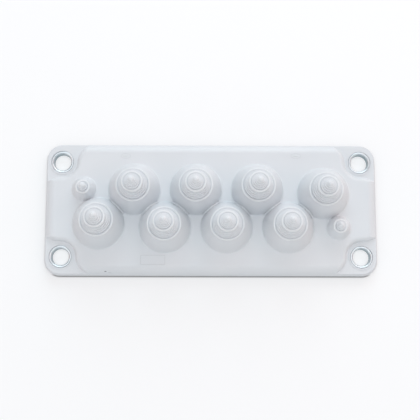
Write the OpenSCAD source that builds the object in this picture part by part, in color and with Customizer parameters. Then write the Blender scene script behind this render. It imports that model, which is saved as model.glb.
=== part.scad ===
// Cable entry flange: a soft moulded plate with hollow stepped cable nipples and four steel
// screw sleeves. Millimetres, +Z up, origin in the middle of the underside, +X along the plate.

/* [Plate] */
// Length of the plate
plate_l = 247.6; // [240:0.2:260]
// Width of the plate
plate_w = 99.2; // [94:0.2:110]
// Corner radius of the plate
corner_r = 12; // [10:0.5:13]
// Thickness of the lower corners, round the screw holes
rim_h = 6.2; // [5:0.1:8]
// Width of the broad rounded shoulder round the plate
shoulder_run = 7.7; // [5:0.1:8.5]
// Height of the upright edge under the shoulder
edge_h = 1; // [0.8:0.1:2]
// Rounding of the plate's lower edge
edge_r = 0.5; // [0.3:0.1:0.7]

/* [Raised middle] */
// Height of the raised middle over the lower corners
raise_h = 3.8; // [2:0.1:4.2]
// Width of the rounded slope from the raised middle down to a corner
slope_run = 4.4; // [4:0.1:5.5]
// Small hollow fillet at the foot of the slope
foot_fillet = 1; // [0.5:0.25:1.25]
// Radius of the flat pocket round each screw hole
pocket_r = 10.6; // [10:0.1:12]
// Radius of the blend from a pocket to the plate's end
end_blend_r = 20; // [14:1:21]
// Radius of the blend from a pocket to the plate's side
side_blend_r = 13.4; // [13:0.2:16]

/* [Screw sleeves] */
// Distance from the plate's end to a screw hole
hole_inset_x = 12.3; // [11.5:0.1:14]
// Distance from the plate's side to a screw hole
hole_inset_y = 13.9; // [12.5:0.1:15]
// Radius of a sleeve's bore
bore_r = 6.2; // [5:0.1:6.4]
// Wall of a sleeve's barrel
barrel_wall = 1.1; // [0.8:0.1:1.4]
// Outer radius of a sleeve's collar
collar_r = 8.4; // [8:0.1:8.7]
// Height of a sleeve's collar under its rounded crest
collar_h = 1.2; // [0.8:0.1:2]
// Height of the flared mouth
flare_h = 2.2; // [1.5:0.1:2.6]
// Rounding of the collar's outer edge
collar_round = 0.9; // [0.4:0.1:0.9]
// How far the crest stands over the rim
sleeve_proud = 0.2; // [0:0.1:1]
// Gap between a sleeve and its seat
sleeve_gap = 0.05; // [0.02:0.01:0.15]
// Open groove round a sleeve's collar
collar_gap = 0.15; // [0.05:0.05:0.4]
// Width of the moulded ring round a sleeve
ring_w = 0.9; // [0.5:0.1:1.2]
// Height of the moulded ring round a sleeve
ring_h = 0.35; // [0.2:0.05:0.6]

/* [Nipple places] */
// Distance between large nipples in a row
nipple_pitch = 45.6; // [45:0.2:48]
// Distance of each row from the plate's centre line
row_y = 14.2; // [13.8:0.1:16]
// Place of each row's outer large nipple along the plate
end_x = 83.3; // [82:0.1:84.5]
// Place of each row's outer large nipple across the plate
end_y = 11.4; // [10.5:0.1:12.5]
// Place of each small nipple along the plate
small_x = 94.4; // [92:0.2:97]
// Place of each small nipple across the plate
small_y = 14.3; // [14:0.1:16]

/* [Large nipples] */
// Radius of the wall at its foot
large_foot_r = 18.7; // [18.2:0.1:19]
// Radius at the lower ring
large_ring1_r = 12; // [11:0.1:13]
// Height of the lower ring over the raised middle
large_ring1_h = 19.5; // [17:0.5:21]
// Radius at the upper ring
large_ring2_r = 7.1; // [6.5:0.1:8]
// Height of the upper ring over the raised middle
large_ring2_h = 31.5; // [29:0.5:33]
// Height of the tip over the raised middle
large_tip_h = 41.5; // [39:0.5:44]
// Cutting steps from the lower ring to the upper one
large_low_steps = 4; // [3:1:5]
// Cutting steps from the upper ring to the tip
large_top_steps = 4; // [2:1:5]

/* [Small nipples] */
// Radius of the wall at its foot
small_foot_r = 8.5; // [8:0.1:8.8]
// Radius at the ring
small_ring_r = 4.7; // [4.2:0.1:5.2]
// Height of the ring over the raised middle
small_ring_h = 10; // [8:0.5:11]
// Height of the tip over the raised middle
small_tip_h = 17; // [15:0.5:19]
// Cutting steps from the ring to the tip
small_steps = 2; // [1:1:3]

/* [Nipple walls] */
// Wall of a nipple
nipple_wall = 1.8; // [1.6:0.1:2.2]
// Wall at a nipple's tip
tip_wall = 2.2; // [1.5:0.1:3]
// Outward bulge of the wall over its foot, half way up
wall_bulge = 0.9; // [0.3:0.1:1.4]
// Rounded fillet where a nipple meets the plate
foot_round = 1.5; // [0.8:0.1:1.8]
// Width of the rib in each valley between large nipples
valley_rib_w = 1.2; // [0.8:0.1:2]
// Height of that rib over the raised middle
valley_rib_h = 6.4; // [5:0.2:8]
// Thickness of each raised ring
bead_t = 1.3; // [1:0.1:1.5]
// Radius of the rounded tip
tip_r = 1.6; // [1.2:0.1:2]

/* [Underside] */
// Width of the flat sealing land at the plate's straight edges
land_w = 13; // [11:0.5:14]
// Radius of the sealing land round each screw hole
land_hole_r = 14; // [13:0.5:16]
// Blend between the land's edges and its rounds
land_blend = 4; // [3:0.5:6]
// Depth of the relief inside the sealing land
relief_h = 3; // [2:0.5:3.5]
// Edge rounding of each nipple's mouth
mouth_round = 0.8; // [0.5:0.1:1.2]

/* [Hidden] */
$fn = 96;
shoulder_steps = 12;
rib_steps = 6;
// A hollow's shoulders lie this far under the rings, so that the wall stays thick inside them
hollow_drop = 2 * bead_t;
body_colour = [0.80, 0.81, 0.83];
steel_colour = [0.78, 0.81, 0.84];
top_z = rim_h + raise_h;
overlap = 1;
half_l = plate_l / 2;
half_w = plate_w / 2;
hole_x = half_l - hole_inset_x;
hole_y = half_w - hole_inset_y;
barrel_r = bore_r + barrel_wall;
crest_z = rim_h + sleeve_proud;
ledge_z = crest_z - collar_round - collar_h;
crest_r = collar_r - collar_round;
large_places = [
    [-1.25 * nipple_pitch, row_y],
    [-0.25 * nipple_pitch, row_y],
    [0.75 * nipple_pitch, row_y],
    [end_x, end_y],
];
small_place = [small_x, -small_y];
// The slope's foot swings from a pocket, through a blend, to these lines by the plate's ends and sides
foot_x = hole_x + end_blend_r;
foot_y = hole_y + side_blend_r;
// The raised middle is cut from a block that is a little larger all round.
// A line is [half length, half width, pocket radius, blend radius by the ends, by the sides].
block_margin = 0.6;
block_line = [foot_x, foot_y, pocket_r, end_blend_r, side_blend_r] + block_margin * [1, 1, -1, 1, 1];
// Edge of the relief on the underside
land_line = [half_l - land_w, half_w - land_w, land_hole_r, land_blend, land_blend];
// The foot of the slope runs on a little way under the rim's upper face
foot_sink = 0.1;

// Points on an arc about a centre, from one angle to another
function arc(centre, radius, from, to, steps) =
    [for (i = [0:steps]) let(a = from + (to - from) * i / steps)
        centre + radius * [cos(a), sin(a)]];

function reversed(points) = [for (i = [len(points) - 1:-1:0]) points[i]];
function scaled(points, sx, sy) = [for (p = points) [p[0] * sx, p[1] * sy]];
function rounded(points) = [for (p = points) [round(1000 * p[0]) / 1000, round(1000 * p[1]) / 1000]];

// Blend centres of a notched outline by the screw hole at +X +Y, at the plate's end and at its side
function end_centre(line) =
    let(x = line[0] - line[3], reach = line[2] + line[3])
    [x, hole_y - sqrt(reach * reach - pow(hole_x - x, 2))];
function side_centre(line) =
    let(y = line[1] - line[4], reach = line[2] + line[4])
    [hole_x - sqrt(reach * reach - pow(hole_y - y, 2)), y];
function angle_to_hole(centre) = atan2(hole_y - centre[1], hole_x - centre[0]);

// One corner of a notched outline: blend, hollow pocket and blend
function notch(line) =
    let(c1 = end_centre(line), c2 = side_centre(line), a1 = angle_to_hole(c1), a2 = angle_to_hole(c2))
    concat(
        arc(c1, line[3], 0, a1, 6),
        arc([hole_x, hole_y], line[2], a1 + 180, a2 + 180, 10),
        arc(c2, line[4], a2, 90, 6)
    );
function notched_outline(line) =
    let(q = notch(line))
    concat(q, reversed(scaled(q, -1, 1)), scaled(q, -1, -1), reversed(scaled(q, 1, -1)));

// The slope's section, outwards from its top: a broad arc that rolls over, and a small hollow arc at
// its foot. It is rounded to a micrometre, so that neighbouring stretches of slope meet exactly.
slope_drop = raise_h + foot_sink;
slope_angle = 2 * atan(slope_drop / slope_run);
roll_r = slope_run / sin(slope_angle) - foot_fillet;
slope_points = rounded(concat(
    arc([0, top_z - roll_r], roll_r, 90, 90 - slope_angle, 7),
    arc([slope_run, top_z - slope_drop + foot_fillet], foot_fillet, 270 - slope_angle, 270, 4)
));

// What the slope takes off a block whose foot lies at a radius: all that is outside it
module slope_cut(foot_r) {
    outer = slope_run + 2 * block_margin;
    translate([foot_r - slope_run, 0])
        polygon(concat(
            [[outer, top_z + 2 * overlap], [0, top_z + 2 * overlap]],
            slope_points,
            [[slope_run, rim_h - 2 * overlap], [outer, rim_h - 2 * overlap]]
        ));
}

// The plate's edge: a small lower rounding, a low upright edge and a broad shoulder up to the top
module edge_section() {
    polygon(concat(
        [[0, 0]],
        arc([corner_r - edge_r, edge_r], edge_r, -90, 0, 4),
        [for (i = [0:shoulder_steps]) let(a = 90 * i / shoulder_steps)
            [corner_r - shoulder_run * (1 - cos(a)), edge_h + (top_z - edge_h) * sin(a)]],
        [[0, top_z]]
    ));
}

// Turns a section round a centre, between two angles
module swing(centre, from, to) {
    translate([centre[0], centre[1], 0])
        rotate([0, 0, from])
            rotate_extrude(angle = to - from)
                children();
}

// Runs a section straight along one side of the plate, its outer edge facing the given way
module side(offset_from_middle, length, facing) {
    rotate([0, 0, facing])
        translate([0, offset_from_middle, 0])
            rotate([90, 0, 90])
                linear_extrude(length, center = true)
                    children();
}

module each_corner() {
    for (sx = [0, 1]) {
        for (sy = [0, 1]) {
            mirror([sx, 0, 0])
                mirror([0, sy, 0])
                    children();
        }
    }
}

// The plate's blank: full height all over, inside its rounded shoulder
module blank() {
    inner_l = plate_l - 2 * corner_r;
    inner_w = plate_w - 2 * corner_r;
    translate([-inner_l / 2, -inner_w / 2, 0])
        cube([inner_l, inner_w, top_z]);
    for (facing = [0, 180])
        side(inner_w / 2, inner_l, facing)
            edge_section();
    for (facing = [90, 270])
        side(inner_l / 2, inner_w, facing)
            edge_section();
    each_corner()
        swing([inner_l / 2, inner_w / 2], 0, 90)
            edge_section();
}

// The slopes all round: straight at the sides and ends, rolled at the blends, hollow at the pockets
module slope_cuts() {
    end_at = hole_y - pocket_r - end_blend_r;
    side_at = hole_x - pocket_r - side_blend_r;
    for (facing = [0, 180])
        side(hole_y, 2 * side_at, facing)
            slope_cut(side_blend_r);
    for (facing = [90, 270])
        side(hole_x, 2 * end_at, facing)
            slope_cut(end_blend_r);
    each_corner() {
        swing([hole_x, end_at], 0, 90)
            slope_cut(end_blend_r);
        swing([side_at, hole_y], 0, 90)
            slope_cut(side_blend_r);
        swing([hole_x, hole_y], 180, 270)
            mirror([1, 0])
                slope_cut(-pocket_r);
    }
}

// The raised middle: a block a little too large all round, trimmed to its slopes
module raised_middle() {
    difference() {
        translate([0, 0, rim_h - overlap])
            linear_extrude(raise_h + 2 * overlap)
                polygon(notched_outline(block_line));
        slope_cuts();
    }
}

// The plate: its blank, brought down to the rim's height at the corners
module plate() {
    intersection() {
        blank();
        union() {
            translate([-plate_l, -plate_w, -overlap])
                cube([2 * plate_l, 2 * plate_w, rim_h + overlap]);
            raised_middle();
        }
    }
}

// A wall that leans in with height and bulges outwards, from a low point to a high one
function leaning_wall(low, high, bulge, steps) =
    [for (i = [0:steps]) let(t = i / steps)
        low + (high - low) * t + [4 * bulge * t * (1 - t), 0]];

// A rounded lip that stands out of the wall and over the steps inside it
function ring_points(r, h) = [
    [r, h - bead_t * 0.6],
    [r + bead_t * 0.3, h - bead_t * 0.4],
    [r + bead_t * 0.4, h - bead_t * 0.1],
    [r + bead_t * 0.3, h + bead_t * 0.2],
    [r, h + bead_t * 0.3],
    [r - bead_t * 0.5, h + bead_t * 0.3],
    [r - bead_t * 0.7, h + bead_t * 0.2],
    [r - bead_t * 0.8, h],
];

// Cutting steps: each has a steep riser and a sloping tread
function step_points(low, high, steps) =
    let(dr = (high[0] - low[0]) / steps, dh = (high[1] - low[1]) / steps)
    [for (i = [0:steps - 1], k = [0, 1])
        [low[0] + dr * (i + 0.15 * k), low[1] + dh * (i + 0.95 * k)]];

// A rounded nose with a small flat at its end
function nose_points(tip_h, radius) =
    let(flat = radius / 4)
    concat(arc([flat, tip_h - radius + flat], radius - flat, 0, 90, 5), [[0, tip_h]]);

// Outline of a large nipple, from its foot to its tip, and of a small one
function large_outline() = concat(
    leaning_wall([large_foot_r, foot_round], [large_ring1_r, large_ring1_h - bead_t * 0.6], wall_bulge, 8),
    ring_points(large_ring1_r, large_ring1_h),
    step_points([large_ring1_r - bead_t, large_ring1_h],
        [large_ring2_r, large_ring2_h - bead_t * 0.6], large_low_steps),
    ring_points(large_ring2_r, large_ring2_h),
    step_points([large_ring2_r - bead_t, large_ring2_h],
        [tip_r, large_tip_h - tip_r], large_top_steps),
    nose_points(large_tip_h, tip_r)
);
function small_outline() = concat(
    leaning_wall([small_foot_r, foot_round], [small_ring_r, small_ring_h - bead_t * 0.6], wall_bulge / 2, 6),
    ring_points(small_ring_r, small_ring_h),
    step_points([small_ring_r - bead_t, small_ring_h],
        [tip_r, small_tip_h - tip_r], small_steps),
    nose_points(small_tip_h, tip_r)
);

// A nipple's outside: its outline, and the hollow fillet that spreads onto the plate
module nipple_outside(foot_r, outline) {
    spread_r = foot_r + foot_round;
    translate([0, 0, top_z])
        rotate_extrude()
            polygon(concat(
                [[0, -overlap], [spread_r, -overlap]],
                arc([spread_r, foot_round], foot_round, 270, 180, 5),
                outline
            ));
}

// A nipple's hollow, open through the plate's underside, with a rounded mouth
module nipple_hollow(foot_r, shoulders, tip_h, bulge) {
    mouth_r = foot_r - nipple_wall;
    tip_hollow_r = tip_r * 0.8;
    translate([0, 0, top_z])
        rotate_extrude()
            polygon(concat(
                [[0, -top_z - overlap], [mouth_r + mouth_round, -top_z - overlap]],
                arc([mouth_r + mouth_round, relief_h - top_z + mouth_round], mouth_round, 270, 180, 4),
                leaning_wall([mouth_r, foot_round], shoulders[0] - [nipple_wall, hollow_drop], bulge, 6),
                [for (i = [1:1:len(shoulders) - 1]) shoulders[i] - [nipple_wall, hollow_drop]],
                nose_points(tip_h - tip_wall, tip_hollow_r)
            ));
}

// Centres of the large nipples, in the order in which they lie along the plate
function turned(p) = [-p[0], -p[1]];
zigzag = [for (i = [0:3], k = [0, 1]) k == 0 ? turned(large_places[3 - i]) : large_places[i]];

// A low rib in each valley between neighbours of the two rows: an arch with its ends inside the plate
module valley_ribs() {
    reach = large_foot_r + foot_round;
    for (i = [0:len(zigzag) - 2]) {
        a = zigzag[i];
        b = zigzag[i + 1];
        half = norm(b - a) / 2;
        half_run = sqrt(reach * reach - half * half);
        translate([(a[0] + b[0]) / 2, (a[1] + b[1]) / 2, top_z])
            rotate([90, 0, atan2(b[1] - a[1], b[0] - a[0]) + 90])
                linear_extrude(valley_rib_w, center = true)
                    polygon([for (k = [-rib_steps:rib_steps]) let(t = k / rib_steps)
                        [half_run * t, (valley_rib_h + overlap) * (1 - t * t) - overlap]]);
    }
}

module each_large() {
    for (p = large_places) {
        for (turn = [0, 180]) {
            rotate([0, 0, turn])
                translate([p[0], p[1], 0])
                    children();
        }
    }
}

module each_small() {
    for (turn = [0, 180]) {
        rotate([0, 0, turn])
            translate([small_place[0], small_place[1], 0])
                children();
    }
}

// A screw hole's seat: a barrel hole, and a wider one for the collar
module sleeve_seat() {
    translate([0, 0, -overlap])
        cylinder(h = rim_h + 2 * overlap, r = barrel_r + sleeve_gap);
    translate([0, 0, ledge_z])
        cylinder(h = rim_h + overlap, r = collar_r + collar_gap);
}

module seat_ring() {
    translate([0, 0, rim_h - overlap])
        cylinder(h = overlap + ring_h, r = collar_r + collar_gap + ring_w);
}

module flange_body() {
    color(body_colour)
        difference() {
            union() {
                plate();
                valley_ribs();
                each_large()
                    nipple_outside(large_foot_r, large_outline());
                each_small()
                    nipple_outside(small_foot_r, small_outline());
                each_corner()
                    translate([hole_x, hole_y, 0])
                        seat_ring();
            }
            translate([0, 0, -overlap])
                linear_extrude(relief_h + overlap)
                    polygon(notched_outline(land_line));
            each_large()
                nipple_hollow(large_foot_r, [[large_ring1_r, large_ring1_h], [large_ring2_r, large_ring2_h]],
                    large_tip_h, wall_bulge);
            each_small()
                nipple_hollow(small_foot_r, [[small_ring_r, small_ring_h]], small_tip_h, wall_bulge / 2);
            each_corner()
                translate([hole_x, hole_y, 0])
                    sleeve_seat();
        }
}

// A drawn steel sleeve: a barrel that stands on the enclosure, under a collar with a flared mouth
module sleeve(side_x, side_y) {
    chamfer = barrel_wall / 4;
    color(steel_colour)
        translate([side_x * hole_x, side_y * hole_y, 0])
            rotate_extrude()
                polygon(concat(
                    [[bore_r, chamfer], [bore_r + chamfer, 0], [barrel_r - chamfer, 0], [barrel_r, chamfer]],
                    [[barrel_r, ledge_z], [collar_r, ledge_z]],
                    arc([crest_r, crest_z - collar_round], collar_round, 0, 90, 5),
                    [for (i = [1:8]) let(a = 90 * i / 8)
                        [crest_r - (crest_r - bore_r) * sin(a), crest_z - flare_h * (1 - cos(a))]]
                ));
}

flange_body();
sleeve(-1, -1);  // sleeve_front_left
sleeve(1, -1);  // sleeve_front_right
sleeve(-1, 1);  // sleeve_rear_left
sleeve(1, 1);  // sleeve_rear_right
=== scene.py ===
"""Looks, light and camera for a cable entry flange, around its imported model. Metres, +Z up."""

import math

import bpy
from mathutils import Matrix, Vector


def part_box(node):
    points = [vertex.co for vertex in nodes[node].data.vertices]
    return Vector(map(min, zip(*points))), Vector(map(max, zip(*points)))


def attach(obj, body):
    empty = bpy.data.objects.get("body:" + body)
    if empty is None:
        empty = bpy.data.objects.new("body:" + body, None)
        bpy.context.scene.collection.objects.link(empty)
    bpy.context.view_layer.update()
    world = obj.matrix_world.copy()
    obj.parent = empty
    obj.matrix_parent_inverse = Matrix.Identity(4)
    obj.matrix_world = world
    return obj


MM = 0.001

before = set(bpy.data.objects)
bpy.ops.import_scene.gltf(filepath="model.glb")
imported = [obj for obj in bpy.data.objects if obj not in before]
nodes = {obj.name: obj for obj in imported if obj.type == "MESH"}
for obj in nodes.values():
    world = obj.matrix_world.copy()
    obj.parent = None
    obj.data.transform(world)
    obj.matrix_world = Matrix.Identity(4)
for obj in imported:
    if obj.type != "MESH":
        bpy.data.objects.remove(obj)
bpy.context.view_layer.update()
body = nodes["flange_body"]
sleeves = [nodes[name] for name in sorted(nodes) if name.startswith("sleeve")]


# Shader nodes

def add_node(tree, kind, settings=None, inputs=None):
    """A shader node with its settings and socket values."""
    node = tree.nodes.new(kind)
    for name, value in (settings or {}).items():
        setattr(node, name, value)
    for name, value in (inputs or {}).items():
        node.inputs[name].default_value = value
    return node


def feed(tree, source, socket):
    """Links a node's output to a socket, or writes a plain value there."""
    if isinstance(source, bpy.types.NodeSocket):
        tree.links.new(source, socket)
    else:
        socket.default_value = source


def compute(tree, operation, first, second):
    """The result of an operation on two numbers."""
    node = add_node(tree, "ShaderNodeMath", {"operation": operation})
    feed(tree, first, node.inputs[0])
    feed(tree, second, node.inputs[1])
    return node.outputs[0]


def vector_math(tree, operation, first, second=(0.0, 0.0, 0.0)):
    """The node of an operation on one or two vectors."""
    node = add_node(tree, "ShaderNodeVectorMath", {"operation": operation})
    feed(tree, first, node.inputs[0])
    feed(tree, second, node.inputs[1])
    return node


def split(tree, vector):
    """The X, Y and Z outputs of a vector."""
    node = add_node(tree, "ShaderNodeSeparateXYZ")
    tree.links.new(vector, node.inputs[0])
    return node.outputs


def noise(tree, vector, scale, detail, roughness=0.5):
    """A noise texture over a coordinate."""
    node = add_node(tree, "ShaderNodeTexNoise", inputs={
        "Scale": scale,
        "Detail": detail,
        "Roughness": roughness,
    })
    tree.links.new(vector, node.inputs["Vector"])
    return node.outputs["Fac"]


def ramp(tree, value, stops):
    """Colours over a value from 0 to 1."""
    node = add_node(tree, "ShaderNodeValToRGB")
    tree.links.new(value, node.inputs["Fac"])
    for element, (position, colour) in zip(node.color_ramp.elements, stops):
        element.position = position
        element.color = (*colour, 1.0)
    return node.outputs["Color"]


def spread(tree, value, levels, ends=(0.0, 1.0), kind="LINEAR"):
    """A value that goes from one level to another while its source goes between two ends."""
    node = add_node(tree, "ShaderNodeMapRange", {"interpolation_type": kind}, {
        "From Min": ends[0],
        "From Max": ends[1],
        "To Min": levels[0],
        "To Max": levels[1],
    })
    tree.links.new(value, node.inputs["Value"])
    return node.outputs["Result"]


def fade(tree, value, ends, levels=(0.0, 1.0)):
    """A value that goes smoothly from one level to another between two lengths in millimetres."""
    return spread(tree, value, levels, (ends[0] * MM, ends[1] * MM), "SMOOTHSTEP")


def blend_colour(tree, share, colour, other):
    """A colour that turns into another one by a share."""
    node = add_node(tree, "ShaderNodeMix", {"data_type": "RGBA"})
    share_socket, first, second = [socket for socket in node.inputs if socket.enabled]
    tree.links.new(share, share_socket)
    tree.links.new(colour, first)
    second.default_value = (*other, 1.0)
    return next(socket for socket in node.outputs if socket.enabled)


def blend_shader(tree, share, shader, other):
    """A shader that turns into another one by a share."""
    node = add_node(tree, "ShaderNodeMixShader")
    tree.links.new(share, node.inputs[0])
    tree.links.new(shader.outputs[0], node.inputs[1])
    tree.links.new(other.outputs[0], node.inputs[2])
    return node


def bump(tree, height, strength, depth, normal=None):
    """A bump from a height, its depth in millimetres, over another bump if one is given."""
    node = add_node(tree, "ShaderNodeBump", inputs={"Strength": strength, "Distance": depth * MM})
    tree.links.new(height, node.inputs["Height"])
    if normal:
        tree.links.new(normal, node.inputs["Normal"])
    return node.outputs["Normal"]


# Outline of the plate: the middles of its rounded corners and their radius, in millimetres
CORNER_MIDDLE = (111.8, 37.6)
CORNER_RADIUS = 12.0

# Taken off every height, in metres, so that no height counts
NO_HEIGHT = 1.0


def reach(tree, place):
    """How far a place lies outside the rectangle between the corner middles, seen from above."""
    limits = (CORNER_MIDDLE[0] * MM, CORNER_MIDDLE[1] * MM, NO_HEIGHT)
    folded = vector_math(tree, "ABSOLUTE", place).outputs["Vector"]
    beyond = vector_math(tree, "SUBTRACT", folded, limits).outputs["Vector"]
    outside = vector_math(tree, "MAXIMUM", beyond).outputs["Vector"]
    return vector_math(tree, "LENGTH", outside).outputs["Value"]


# Materials

def new_material(name, values):
    """A material with the given values on its main shader."""
    material = bpy.data.materials.new(name)
    material.use_nodes = True
    shader = material.node_tree.nodes["Principled BSDF"]
    for socket, value in values.items():
        shader.inputs[socket].default_value = value
    return material, material.node_tree, shader


# Elastomer: two greys over its clouds, and the range of its roughness
GREYS = ((0.690, 0.712, 0.742), (0.722, 0.735, 0.760))
CLOUD_SHARES = (0.30, 0.70)
CLOUD_SCALE = 18.0
SATIN = (0.36, 0.50)
SATIN_SCALE = 240.0

# Fine grain and slow flow of its surface: scale of the noise, strength, and depth in millimetres
GRAIN_SCALE = 3200.0
GRAIN_STRENGTH = 0.10
GRAIN_DEPTH = 0.05
FLOW_SCALE = 60.0
FLOW_STRENGTH = 0.12
FLOW_DEPTH = 0.6

# Light that enters it, and how deep it goes, in millimetres
SKIN_SHARE = 0.12
SKIN_DEPTH = 1.2

# Painted shade along the plate's foot, darker towards the floor, in millimetres: between two
# heights, and two distances inside the outline
FOOT_FADE = (0.7, 3.3)
FOOT_INSET = (1.2, 0.6)
FOOT_SHADE_COLOUR = (0.340, 0.350, 0.370)

# Painted highlight on the ring lips, as paler elastomer: between two levels of pointiness, and two
# heights in millimetres
CREST_SHARES = (0.52, 0.575)
CREST_FADE = (17.0, 18.5)
CREST_HIGHLIGHT_COLOUR = (0.860, 0.865, 0.875)


def elastomer(name, shade=1.0):
    """Light grey moulded elastomer: satin, faintly clouded and grained, with a painted highlight on
    its ring lips and painted shade at its foot.
    """
    material, tree, shader = new_material(name, {
        "IOR": 1.48,
        "Subsurface Weight": SKIN_SHARE,
        "Subsurface Radius": (1.0, 1.0, 1.0),
        "Subsurface Scale": SKIN_DEPTH * MM,
    })
    place = add_node(tree, "ShaderNodeTexCoord").outputs["Object"]
    height = split(tree, place)["Z"]

    shaded = [tuple(level * shade for level in grey) for grey in GREYS]
    clouds = noise(tree, place, CLOUD_SCALE, detail=3.0)
    colour = ramp(tree, clouds, zip(CLOUD_SHARES, shaded))

    # Painted highlight: paler elastomer on the ring lips
    pointiness = add_node(tree, "ShaderNodeNewGeometry").outputs["Pointiness"]
    crest_highlight = spread(tree, pointiness, (0.0, 1.0), CREST_SHARES)
    high_up = fade(tree, height, CREST_FADE)
    colour = blend_colour(tree, compute(tree, "MULTIPLY", crest_highlight, high_up), colour, CREST_HIGHLIGHT_COLOUR)

    # Painted shade: darker elastomer along the plate's foot, towards the floor
    foot_ends = (CORNER_RADIUS - FOOT_INSET[0], CORNER_RADIUS - FOOT_INSET[1])
    low_down = fade(tree, height, FOOT_FADE, (1.0, 0.0))
    far_out = fade(tree, reach(tree, place), foot_ends)
    colour = blend_colour(tree, compute(tree, "MULTIPLY", low_down, far_out), colour, FOOT_SHADE_COLOUR)
    tree.links.new(colour, shader.inputs["Base Color"])

    patches = noise(tree, place, SATIN_SCALE, detail=2.0)
    tree.links.new(spread(tree, patches, SATIN), shader.inputs["Roughness"])

    flow = noise(tree, place, FLOW_SCALE, detail=2.0)
    soft = bump(tree, flow, FLOW_STRENGTH, FLOW_DEPTH)
    grain = noise(tree, place, GRAIN_SCALE, detail=3.0, roughness=0.6)
    tree.links.new(bump(tree, grain, GRAIN_STRENGTH, GRAIN_DEPTH, soft), shader.inputs["Normal"])
    return material


# Zinc plating: two tones over its blotches, and the range of its roughness
ZINC_TONES = ((0.700, 0.745, 0.780), (0.790, 0.820, 0.845))
BLOTCH_SHARES = (0.30, 0.70)
BLOTCH_SCALE = 420.0
ZINC_ROUGHNESS = (0.26, 0.40)

# Turned lines: scale of the noise along the radius, strength, and depth in millimetres
LINE_SCALE = 90.0
LINE_STRENGTH = 0.15
LINE_DEPTH = 0.05

# Painted shade in the bore: darker plating between two radii as shares of the sleeve's width
BORE_SHARES = (0.371, 0.386)
BORE_SHADE_COLOUR = (0.240, 0.310, 0.340)


def zinc_plate():
    """Bright zinc-plated steel with fine turned lines, and painted shade darkening its bore."""
    material, tree, shader = new_material("zinc_plate", {"Metallic": 1.0})
    place = add_node(tree, "ShaderNodeTexCoord")
    blotches = noise(tree, place.outputs["Object"], BLOTCH_SCALE, detail=3.0)
    colour = ramp(tree, blotches, zip(BLOTCH_SHARES, ZINC_TONES))
    tree.links.new(spread(tree, blotches, ZINC_ROUGHNESS), shader.inputs["Roughness"])

    centred = add_node(tree, "ShaderNodeMapping", inputs={"Location": (-0.5, -0.5, 0.0)})
    tree.links.new(place.outputs["Generated"], centred.inputs["Vector"])
    flat = vector_math(tree, "MULTIPLY", centred.outputs["Vector"], (1.0, 1.0, 0.0))
    radius = vector_math(tree, "LENGTH", flat.outputs["Vector"]).outputs["Value"]
    # Painted shade: darker plating inside the bore
    inside = spread(tree, radius, (1.0, 0.0), BORE_SHARES, "SMOOTHSTEP")
    colour = blend_colour(tree, inside, colour, BORE_SHADE_COLOUR)
    tree.links.new(colour, shader.inputs["Base Color"])

    line_place = add_node(tree, "ShaderNodeCombineXYZ")
    tree.links.new(radius, line_place.inputs["X"])
    lines = noise(tree, line_place.outputs["Vector"], LINE_SCALE, detail=2.0)
    tree.links.new(bump(tree, lines, LINE_STRENGTH, LINE_DEPTH), shader.inputs["Normal"])
    return material


# Pieces of the moulding

# A height, in metres, from which a ray drops on the moulding
DROP_HEIGHT = 0.2


def clothe(piece, material):
    """Puts one material on the whole of a piece."""
    piece.data.materials.clear()
    piece.data.materials.append(material)


def add_object(name, data):
    """A new object in the scene."""
    item = bpy.data.objects.new(name, data)
    bpy.context.scene.collection.objects.link(item)
    return item


def add_piece(name, vertices, faces, material):
    """A piece of the moulding itself, which rides with it."""
    mesh = bpy.data.meshes.new(name)
    mesh.from_pydata(vertices, [], faces)
    mesh.shade_smooth()
    piece = add_object(name, mesh)
    clothe(piece, material)
    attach(piece, "root")
    return piece


def drape(x, y):
    """The point of the moulding's upper side above a place in millimetres, and its normal there."""
    start = Vector((x * MM, y * MM, DROP_HEIGHT))
    hit, point, normal, _ = body.ray_cast(start, Vector((0.0, 0.0, -1.0)))
    if not hit:
        raise ValueError("nothing lies under this place")
    return point, normal


def round_turn(steps):
    """The angles of a full turn."""
    return [2 * math.pi * step / steps for step in range(steps)]


# Profile of a fine bead: places across it, and heights over the surface, in millimetres
BEAD_PROFILE = (
    (-0.22, -0.06),
    (-0.14, 0.02),
    (-0.05, 0.06),
    (0.05, 0.06),
    (0.14, 0.02),
    (0.22, -0.06),
)


def add_bead(name, line, material):
    """A fine bead that follows a closed line on the moulding's surface."""
    count = len(line)
    vertices = []
    for index in range(count):
        before = Vector(line[index - 1])
        after = Vector(line[(index + 1) % count])
        along = (after - before).normalized()
        across = Vector((along.y, -along.x))
        for side, rise in BEAD_PROFILE:
            place = Vector(line[index]) + side * across
            point, normal = drape(place.x, place.y)
            vertices.append(point + rise * MM * normal)
    width = len(BEAD_PROFILE)
    faces = []
    for index in range(count):
        here = index * width
        there = (index + 1) % count * width
        for step in range(width):
            after = (step + 1) % width
            faces.append((here + step, here + after, there + after, there + step))
    return add_piece(name, vertices, faces, material)


# Low swellings: their mesh, and how deep their edge and their hidden bottom lie, in millimetres
BLISTER_RINGS = 5
BLISTER_STEPS = 32
EDGE_DEPTH = 0.05
BOTTOM_DEPTH = 0.1


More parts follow.
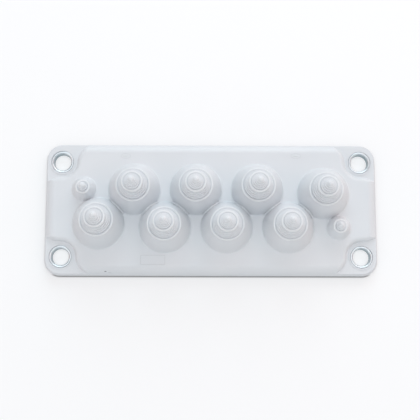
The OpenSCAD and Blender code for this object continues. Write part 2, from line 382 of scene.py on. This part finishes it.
def add_blister(name, middle, radii, rise, material):
    """A low oval swelling of the moulding's surface, with its edge just under that surface."""
    steps = BLISTER_STEPS
    point, normal = drape(*middle)
    vertices = [point + rise * MM * normal]
    for ring in range(1, BLISTER_RINGS + 1):
        share = ring / BLISTER_RINGS
        for angle in round_turn(steps):
            x = middle[0] + radii[0] * share * math.cos(angle)
            y = middle[1] + radii[1] * share * math.sin(angle)
            point, normal = drape(x, y)
            lift = (rise + EDGE_DEPTH) * (1 - share ** 2) - EDGE_DEPTH
            vertices.append(point + lift * MM * normal)
    bottom = len(vertices)
    vertices.append(vertices[0] - (rise + BOTTOM_DEPTH) * MM * Vector((0.0, 0.0, 1.0)))
    rim = bottom - steps
    faces = []
    for step in range(steps):
        after = (step + 1) % steps
        faces.append((0, 1 + step, 1 + after))
        for inner in range(1, rim, steps):
            outer = inner + steps
            faces.append((inner + step, outer + step, outer + after, inner + after))
        faces.append((bottom, rim + after, rim + step))
    return add_piece(name, vertices, faces, material)


# Lip of the moulding round a sleeve's collar: its sizes in millimetres, and its mesh
LIP_RADIUS = 8.53
LIP_HEIGHT = 5.80
LIP_THICKNESS = 0.22
LIP_TURNS = 64
LIP_SIDES = 12


def add_seal_lip(name, middle):
    """The moulding's thin lip that closes on a sleeve's collar all round."""
    vertices = []
    for angle in round_turn(LIP_TURNS):
        for lean in round_turn(LIP_SIDES):
            radius = LIP_RADIUS + LIP_THICKNESS * math.cos(lean)
            vertices.append((
                middle.x + radius * MM * math.cos(angle),
                middle.y + radius * MM * math.sin(angle),
                (LIP_HEIGHT + LIP_THICKNESS * math.sin(lean)) * MM,
            ))
    faces = []
    for turn in range(LIP_TURNS):
        here = turn * LIP_SIDES
        there = (turn + 1) % LIP_TURNS * LIP_SIDES
        for step in range(LIP_SIDES):
            after = (step + 1) % LIP_SIDES
            faces.append((here + step, there + step, there + after, here + after))
    return add_piece(name, vertices, faces, body.data.materials[0])


# Marks that the mould leaves on the plate, and wear at its front edge, in millimetres
FIELD_MIDDLE = (-43.0, -38.4)
FIELD_SIZE = (17.9, 6.9)
FIELD_CORNER = 0.5
FIELD_CORNER_STEPS = 4
EJECTOR_PLACES = {"left": (-63.9, 39.7), "right": (63.4, 40.1)}
EJECTOR_RADII = (3.6, 1.9)
EJECTOR_STEPS = 48
PIP_RADII = (2.3, 0.8)
PIP_RISE = 0.16
NICK_PLACE = (-77.7, -46.8)
NICK_RADII = (1.1, 0.45)
NICK_RISE = 0.06
SCUFF_PLACE = (-74.6, -47.5)
SCUFF_RADII = (1.9, 0.35)
SCUFF_RISE = 0.05

# Shades of the marks, as shares of the elastomer's own greys: painted groove shade on the date
# field's edge, which also darkens the scuff; painted shade on the ejector rings; and a darker nick
GROOVE_SHADE_AND_SCUFF = 0.86
RING_SHADE = 0.93
NICK_DARKNESS = 0.42


def field_line():
    """The closed line round the bare date field, with small rounded corners."""
    half_x = FIELD_SIZE[0] / 2 - FIELD_CORNER
    half_y = FIELD_SIZE[1] / 2 - FIELD_CORNER
    line = []
    for quarter, (side_x, side_y) in enumerate(((1, 1), (-1, 1), (-1, -1), (1, -1))):
        for step in range(FIELD_CORNER_STEPS + 1):
            angle = math.pi / 2 * (quarter + step / FIELD_CORNER_STEPS)
            line.append((
                FIELD_MIDDLE[0] + side_x * half_x + FIELD_CORNER * math.cos(angle),
                FIELD_MIDDLE[1] + side_y * half_y + FIELD_CORNER * math.sin(angle),
            ))
    return line


def oval_line(middle, radii):
    """A closed oval line."""
    return [
        (middle[0] + radii[0] * math.cos(angle), middle[1] + radii[1] * math.sin(angle))
        for angle in round_turn(EJECTOR_STEPS)
    ]


def add_marks():
    """The bare date field, the two ejector marks, and a nick and a scuff at the front edge."""
    # Painted shade: darker beads round the date field and the ejector marks; the scuff is darker
    # too
    groove_shade_and_scuff = elastomer("elastomer_groove_shade_and_scuff", GROOVE_SHADE_AND_SCUFF)
    ring = elastomer("elastomer_ring", RING_SHADE)
    plain = elastomer("elastomer_pip")
    dark_nick = elastomer("elastomer_dark_nick", NICK_DARKNESS)
    add_bead("date_field_edge", field_line(), groove_shade_and_scuff)
    for side, middle in EJECTOR_PLACES.items():
        add_bead("ejector_ring_" + side, oval_line(middle, EJECTOR_RADII), ring)
        add_blister("ejector_pip_" + side, middle, PIP_RADII, PIP_RISE, plain)
    add_blister("edge_nick", NICK_PLACE, NICK_RADII, NICK_RISE, dark_nick)
    add_blister("edge_scuff", SCUFF_PLACE, SCUFF_RADII, SCUFF_RISE, groove_shade_and_scuff)


# Floor: its size in metres, its depth under the part in millimetres, and its paint
FLOOR_HALF = 3.0
FLOOR_DEPTH = 0.02
FLOOR_COLOUR = (0.60, 0.60, 0.605)

# Its glow in the open and under the plate, where the stronger glow is painted light seen through
# the bores, and where one turns into the other, in millimetres inside the outline
GLOW_COLOUR = (0.98, 0.98, 0.99)
FLOOR_GLOW = 0.36
UNDER_GLOW = 0.56
UNDER_INSET = (3.0, 1.0)

# Painted contact shadow, a dark line on the floor, in millimetres: its width outside the outline,
# and where along Y it ends towards the back; its strength is a share
CONTACT_WIDTH = 1.3
CONTACT_STRENGTH = 0.70
CONTACT_ENDS = (-49.4, -47.5)
CONTACT_SHADOW_COLOUR = (0.02, 0.02, 0.02)


def table_material():
    """A pale table, near white where it is seen, brighter under the plate as painted light, and
    with a painted contact shadow at the plate's front edge.

    It is clear from below, and under the plate it lets the light through to the underside.
    """
    material = bpy.data.materials.new("table")
    material.use_nodes = True
    tree = material.node_tree
    tree.nodes.clear()
    output = add_node(tree, "ShaderNodeOutputMaterial")
    place = add_node(tree, "ShaderNodeTexCoord").outputs["Object"]
    outward = reach(tree, place)
    under_ends = (CORNER_RADIUS - UNDER_INSET[0], CORNER_RADIUS - UNDER_INSET[1])

    path = add_node(tree, "ShaderNodeLightPath").outputs
    direct = compute(tree, "MAXIMUM", path["Is Camera Ray"], path["Is Glossy Ray"])
    seen = compute(tree, "MAXIMUM", direct, path["Is Transmission Ray"])
    # Painted light: a stronger glow on the floor under the plate, seen through the bores
    level = fade(tree, outward, under_ends, (UNDER_GLOW, FLOOR_GLOW))
    glow = add_node(tree, "ShaderNodeEmission", inputs={"Color": (*GLOW_COLOUR, 1.0)})
    tree.links.new(compute(tree, "MULTIPLY", seen, level), glow.inputs["Strength"])
    paint = add_node(tree, "ShaderNodeBsdfDiffuse", inputs={"Color": (*FLOOR_COLOUR, 1.0)})
    lit = add_node(tree, "ShaderNodeAddShader")
    tree.links.new(paint.outputs[0], lit.inputs[0])
    tree.links.new(glow.outputs[0], lit.inputs[1])

    # Painted contact shadow: a dark line on the floor along the plate's front edge
    contact_reach = (CORNER_RADIUS, CORNER_RADIUS + CONTACT_WIDTH)
    at_front = fade(tree, split(tree, place)["Y"], CONTACT_ENDS, (1.0, 0.0))
    at_edge = fade(tree, outward, contact_reach, (CONTACT_STRENGTH, 0.0))
    dark = add_node(tree, "ShaderNodeBsdfDiffuse", inputs={"Color": (*CONTACT_SHADOW_COLOUR, 1.0)})
    top = blend_shader(tree, compute(tree, "MULTIPLY", at_front, at_edge), lit, dark)

    from_below = add_node(tree, "ShaderNodeNewGeometry").outputs["Backfacing"]
    under_plate = fade(tree, outward, under_ends, (1.0, 0.0))
    unseen = compute(tree, "SUBTRACT", 1.0, seen)
    hidden = compute(tree, "MULTIPLY", unseen, under_plate)
    open_share = compute(tree, "MAXIMUM", from_below, hidden)
    clear = add_node(tree, "ShaderNodeBsdfTransparent")
    one_sided = blend_shader(tree, open_share, top, clear)
    tree.links.new(one_sided.outputs[0], output.inputs["Surface"])
    return material


def make_floor():
    """A wide table that keeps the object's soft shadow and hides nothing from below."""
    half = FLOOR_HALF
    corners = [(-half, -half, 0), (half, -half, 0), (half, half, 0), (-half, half, 0)]
    mesh = bpy.data.meshes.new("floor")
    mesh.from_pydata(corners, [], [(0, 1, 2, 3)])
    floor = add_object("floor", mesh)
    floor.location.z = -FLOOR_DEPTH * MM
    clothe(floor, table_material())


# Camera, as seen from the front and well above: angles in degrees, lengths in metres
CAMERA_ELEVATION = 80.5
CAMERA_AZIMUTH = -4.09
CAMERA_ROLL = 4.205
CAMERA_DISTANCE = 0.7099
CAMERA_AIM = Vector((-0.000764, 0.000548, 0.0))
CAMERA_CLIP = (0.05, 20.0)

# Its sensor and lens, in millimetres
SENSOR = 36.0
LENS = 80.86


def toward(azimuth, elevation):
    """A direction from the object, by degrees round from its front and degrees up."""
    turn = math.radians(azimuth)
    height = math.radians(elevation)
    return Vector((
        math.sin(turn) * math.cos(height),
        -math.cos(turn) * math.cos(height),
        math.sin(height),
    ))


def make_camera():
    """The view from well above, a little in front, and turned very slightly."""
    back = toward(CAMERA_AZIMUTH, CAMERA_ELEVATION)
    right = (-back).cross(Vector((0, 0, 1))).normalized()
    up = right.cross(-back)
    roll = math.radians(CAMERA_ROLL)
    turned_right = math.cos(roll) * right + math.sin(roll) * up
    turned_up = math.cos(roll) * up - math.sin(roll) * right
    data = bpy.data.cameras.new("camera")
    data.sensor_width = SENSOR
    data.lens = LENS
    data.clip_start, data.clip_end = CAMERA_CLIP
    camera = add_object("camera", data)
    place = Matrix((turned_right, turned_up, back)).transposed().to_4x4()
    place.translation = CAMERA_AIM + CAMERA_DISTANCE * back
    camera.matrix_world = place
    bpy.context.scene.camera = camera


# Light: a surround, and soft square lamps that face the object from one distance in metres
SURROUND = (0.50, 0.53, 0.53)
LAMP_DISTANCE = 1.6

# Each lamp's azimuth and elevation in degrees, width in metres, power in watts, and colour
LAMPS = {
    "top": (0, 89.9, 1.3, 7.1, (0.94, 0.96, 1.00)),
    "back": (180, 25, 1.0, 9.0, (0.76, 0.92, 1.00)),
    "back_right": (145, 25, 1.0, 5.3, (1.00, 0.79, 0.75)),
    "right": (90, 22, 1.0, 2.5, (1.00, 0.52, 0.46)),
    "front_right": (45, 22, 1.0, 2.0, (1.00, 1.00, 0.90)),
    "front": (0, 22, 1.0, 1.5, (0.75, 0.80, 1.00)),
    "front_left": (315, 22, 1.0, 2.6, (0.96, 0.98, 1.00)),
    "left": (270, 22, 1.0, 2.1, (1.00, 0.45, 0.35)),
}


def add_lamp(name, azimuth, elevation, size, power, colour):
    """A soft square lamp that faces the object and isn't seen itself."""
    data = bpy.data.lights.new(name, "AREA")
    data.shape = "SQUARE"
    data.size = size
    data.energy = power
    data.color = colour
    lamp = add_object(name, data)
    lamp.location = LAMP_DISTANCE * toward(azimuth, elevation)
    lamp.rotation_mode = "QUATERNION"
    lamp.rotation_quaternion = (-lamp.location).to_track_quat("-Z", "Y")
    lamp.visible_camera = False


def make_light():
    """An even surround, a lamp overhead, a strong pair behind and weak ones round the sides."""
    world = bpy.data.worlds.new("surround")
    world.use_nodes = True
    shade = world.node_tree.nodes["Background"]
    shade.inputs["Color"].default_value = (*SURROUND, 1.0)
    shade.inputs["Strength"].default_value = 1.0
    bpy.context.scene.world = world
    for name, values in LAMPS.items():
        add_lamp(name, *values)


def main():
    """Dresses the flange and sets its stage."""
    bpy.context.scene.view_settings.view_transform = "Standard"
    clothe(body, elastomer("elastomer"))
    plating = zinc_plate()
    for sleeve in sleeves:
        clothe(sleeve, plating)
        low_corner, high_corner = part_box(sleeve.name)
        lip_name = sleeve.name.replace("sleeve", "seal_lip")
        add_seal_lip(lip_name, (low_corner + high_corner) / 2)
    add_marks()
    make_floor()
    make_camera()
    make_light()


main()
